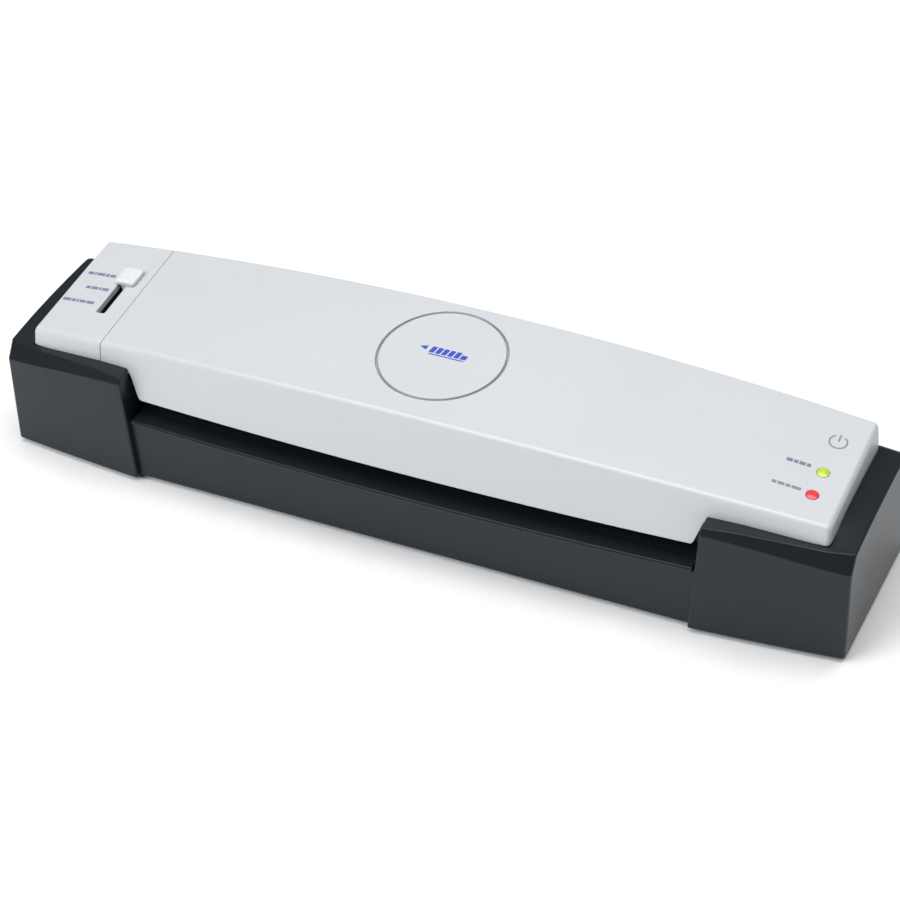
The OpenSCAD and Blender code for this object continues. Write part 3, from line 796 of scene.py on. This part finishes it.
def round_cutter(radius, top, spot, segments):
    return lathe("hole", [(0, -1), (radius, -1), (radius, top), (0, top)], upright(spot), segments)


small = [round_cutter(WELL_R, FLOOR_Z + 1, spot, 32) for spot in SCREW_SPOTS]
small += [round_cutter(FOOT_R, foot_top, spot, 48) for spot in FOOT_SPOTS]
for x in range(-100, 101, 20):
    for y in (-12, 8):
        corners = [(x - VENT_L, y - VENT_W), (x + VENT_L, y - VENT_W),
                   (x + VENT_L, y + VENT_W), (x - VENT_L, y + VENT_W)]
        outline = rounded(corners, [VENT_CORNER] * 4, [5] * 4)
        small.append(loft("vent", [[(a, b, z) for a, b in outline] for z in (-1, FLOOR_Z + 1)]))
boolean(case, join("small", small), "DIFFERENCE")

gland_y = rear_y(GLAND_Z)


def gland_place(a, b, h):
    """Place round the gland's axis, square to the rear wall."""
    s, c = math.sin(REAR_LEAN), math.cos(REAR_LEAN)
    return Vector(((gland_lo.x + gland_hi.x) / 2 + a, gland_y + h * c - b * s, GLAND_Z + h * s + b * c))


gland_cut = [(0, -6), (GLAND_R, -6), (GLAND_R, 4), (0, 4)]
boolean(case, lathe("gland_hole", gland_cut, gland_place, 48), "DIFFERENCE")
finish_piece(case, case_dark, "case_black", "machine", "bottom_case")

# Tubes round the screws, with a ledge for the screw's head near the top
BOSS_R, SCREW_R, LEDGE, BOSS_RISE, BOSS_ROOT = 4.8, 1.7, 2.9, 5, 0.3
boss_top, boss_base = screw_bottom + BOSS_RISE, case_lo.z + BOSS_ROOT
ledge_z = boss_top - LEDGE
boss_outline = [(WELL_R, boss_base), (BOSS_R, boss_base), (BOSS_R, boss_top), (SCREW_R, boss_top),
                (SCREW_R, ledge_z), (WELL_R, ledge_z)]
bosses = [ring_lathe("boss", boss_outline, upright(spot), 32) for spot in SCREW_SPOTS]
finish_piece(join("screw_bosses", bosses), case_dark, "case_black", "machine")

# ---- Pressure springs ----------------------------------------------------

WIRE_R, COIL_R = 0.45, 3.25
COIL_TURNS, CLOSED_TURNS, TURN_STEPS, WIRE_SIDES = 4.5, 0.75, 28, 12
COIL_CLEAR = 0.02
coil_y = (spring_lo.y + spring_hi.y) / 2


def coil_rise(turn):
    """Height of the wire's middle over its lower end: the turns at both ends are closed, the others open."""
    closed = 2 * WIRE_R + COIL_CLEAR
    travel = spring_hi.z - spring_lo.z - 2 * WIRE_R
    open_turns = COIL_TURNS - 2 * CLOSED_TURNS
    pitch = (travel - 2 * CLOSED_TURNS * closed) / open_turns
    opened = min(max(turn - CLOSED_TURNS, 0), open_turns)
    return opened * pitch + (turn - opened) * closed


coils = []
for x in (spring_lo.x + COIL_R + WIRE_R, spring_hi.x - COIL_R - WIRE_R):
    rows = []
    for i in range(int(COIL_TURNS * TURN_STEPS) + 1):
        turn = i / TURN_STEPS
        angle = 2 * math.pi * turn
        wire = []
        for k in range(WIRE_SIDES):
            t = 2 * math.pi * k / WIRE_SIDES
            r = COIL_R + WIRE_R * math.cos(t)
            z = spring_lo.z + WIRE_R + coil_rise(turn) + WIRE_R * math.sin(t)
            wire.append((x + r * math.cos(angle), coil_y + r * math.sin(angle), z))
        rows.append(wire)
    coils.append(loft("coil", rows))
springs = finish_piece(join("springs", coils), steel, "steel", "machine", "pressure_springs")
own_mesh(springs)

# ---- Feed shelf ----------------------------------------------------------

SHELF_T, SHELF_TAIL_T, BEND_Y, TAIL_Y, SHELF_STEP = 1.5, 1.3, -31, -24.6, 6.0
z0, z1, z2 = shelf_lo.z, shelf_lo.z + SHELF_T, shelf_hi.z
rows = []
for x in spread(shelf_lo.x, shelf_hi.x, SHELF_STEP):
    y_front = shelf_lo.y + arc_sag(x, FRONT_R)
    points = [(y_front, z0), (y_front, z1), (BEND_Y, z1),
              (TAIL_Y, z2), (TAIL_Y, z2 - SHELF_TAIL_T), (BEND_Y, z0)]
    rows.append([(x, y, z) for y, z in rounded(points, [0.35, 0.9, 4, 0.3, 0.3, 4], [3, 6, 4, 2, 2, 4])])
finish_piece(loft("shelf", rows), case_dark, "case_black", "machine", "feed_shelf")

# ---- Studio --------------------------------------------------------------

scene = bpy.context.scene
scene.view_settings.view_transform = "Standard"
scene.view_settings.look = "None"
mid = (cad_bounds[0] + cad_bounds[1]) / 2

FLOOR_HALF, FLOOR_DROP = 4.0, 0.0002
floor_mat = surface("floor_paper", (0.86, 0.865, 0.87), (0.90, 0.905, 0.91), 0.9, 60, 0.02, specular=0.2)
floor_data = bpy.data.meshes.new("floor")
bm = bmesh.new()
bmesh.ops.create_grid(bm, x_segments=8, y_segments=8, size=FLOOR_HALF)
bm.to_mesh(floor_data)
bm.free()
floor_data.materials.append(floor_mat)
floor = bpy.data.objects.new("floor", floor_data)
floor.location.z = cad_bounds[0].z - FLOOR_DROP
scene.collection.objects.link(floor)

world = bpy.data.worlds.new("studio")
world.use_nodes = True
background = world.node_tree.nodes["Background"]
background.inputs["Color"].default_value = (0.90, 0.95, 1.0, 1)
background.inputs["Strength"].default_value = 0.15
scene.world = world


def softbox(name, offset, size, power, glossy=True):
    """An area light aimed at the middle of the object."""
    data = bpy.data.lights.new(name, "AREA")
    data.shape = "RECTANGLE"
    data.size, data.size_y = size
    data.energy = power
    light = bpy.data.objects.new(name, data)
    light.location = mid + Vector(offset)
    aim = (mid - light.location).to_track_quat("-Z", "Y")
    light.rotation_euler = aim.to_euler()
    light.visible_glossy = glossy
    scene.collection.objects.link(light)


softbox("top_light", (0.0, 0.05, 1.9), (2.2, 1.5), 34)
softbox("front_light", (-1.2, -1.7, 1.5), (1.8, 1.3), 48, glossy=False)
softbox("rear_light", (0.7, 1.9, 1.1), (1.6, 1.2), 18, glossy=False)

CAMERA_AT = Vector((0.3637, -0.7429, 0.6424))
AZIMUTH, PITCH, ROLL = math.radians(25.89), math.radians(36.86), math.radians(-1.90)
LENS, SENSOR, CLIP_START = 104.84, 36, 0.02
camera_data = bpy.data.cameras.new("camera")
camera_data.lens, camera_data.sensor_width, camera_data.clip_start = LENS, SENSOR, CLIP_START
camera = bpy.data.objects.new("camera", camera_data)
ahead = Vector((-math.sin(AZIMUTH) * math.cos(PITCH), math.cos(AZIMUTH) * math.cos(PITCH), -math.sin(PITCH)))
level = Vector((math.cos(AZIMUTH), math.sin(AZIMUTH), 0))
above = level.cross(ahead)
right = math.cos(ROLL) * level + math.sin(ROLL) * above
up = -math.sin(ROLL) * level + math.cos(ROLL) * above
camera.matrix_world = Matrix((
    (right.x, up.x, -ahead.x, CAMERA_AT.x),
    (right.y, up.y, -ahead.y, CAMERA_AT.y),
    (right.z, up.z, -ahead.z, CAMERA_AT.z),
    (0, 0, 0, 1),
))
scene.collection.objects.link(camera)
scene.camera = camera
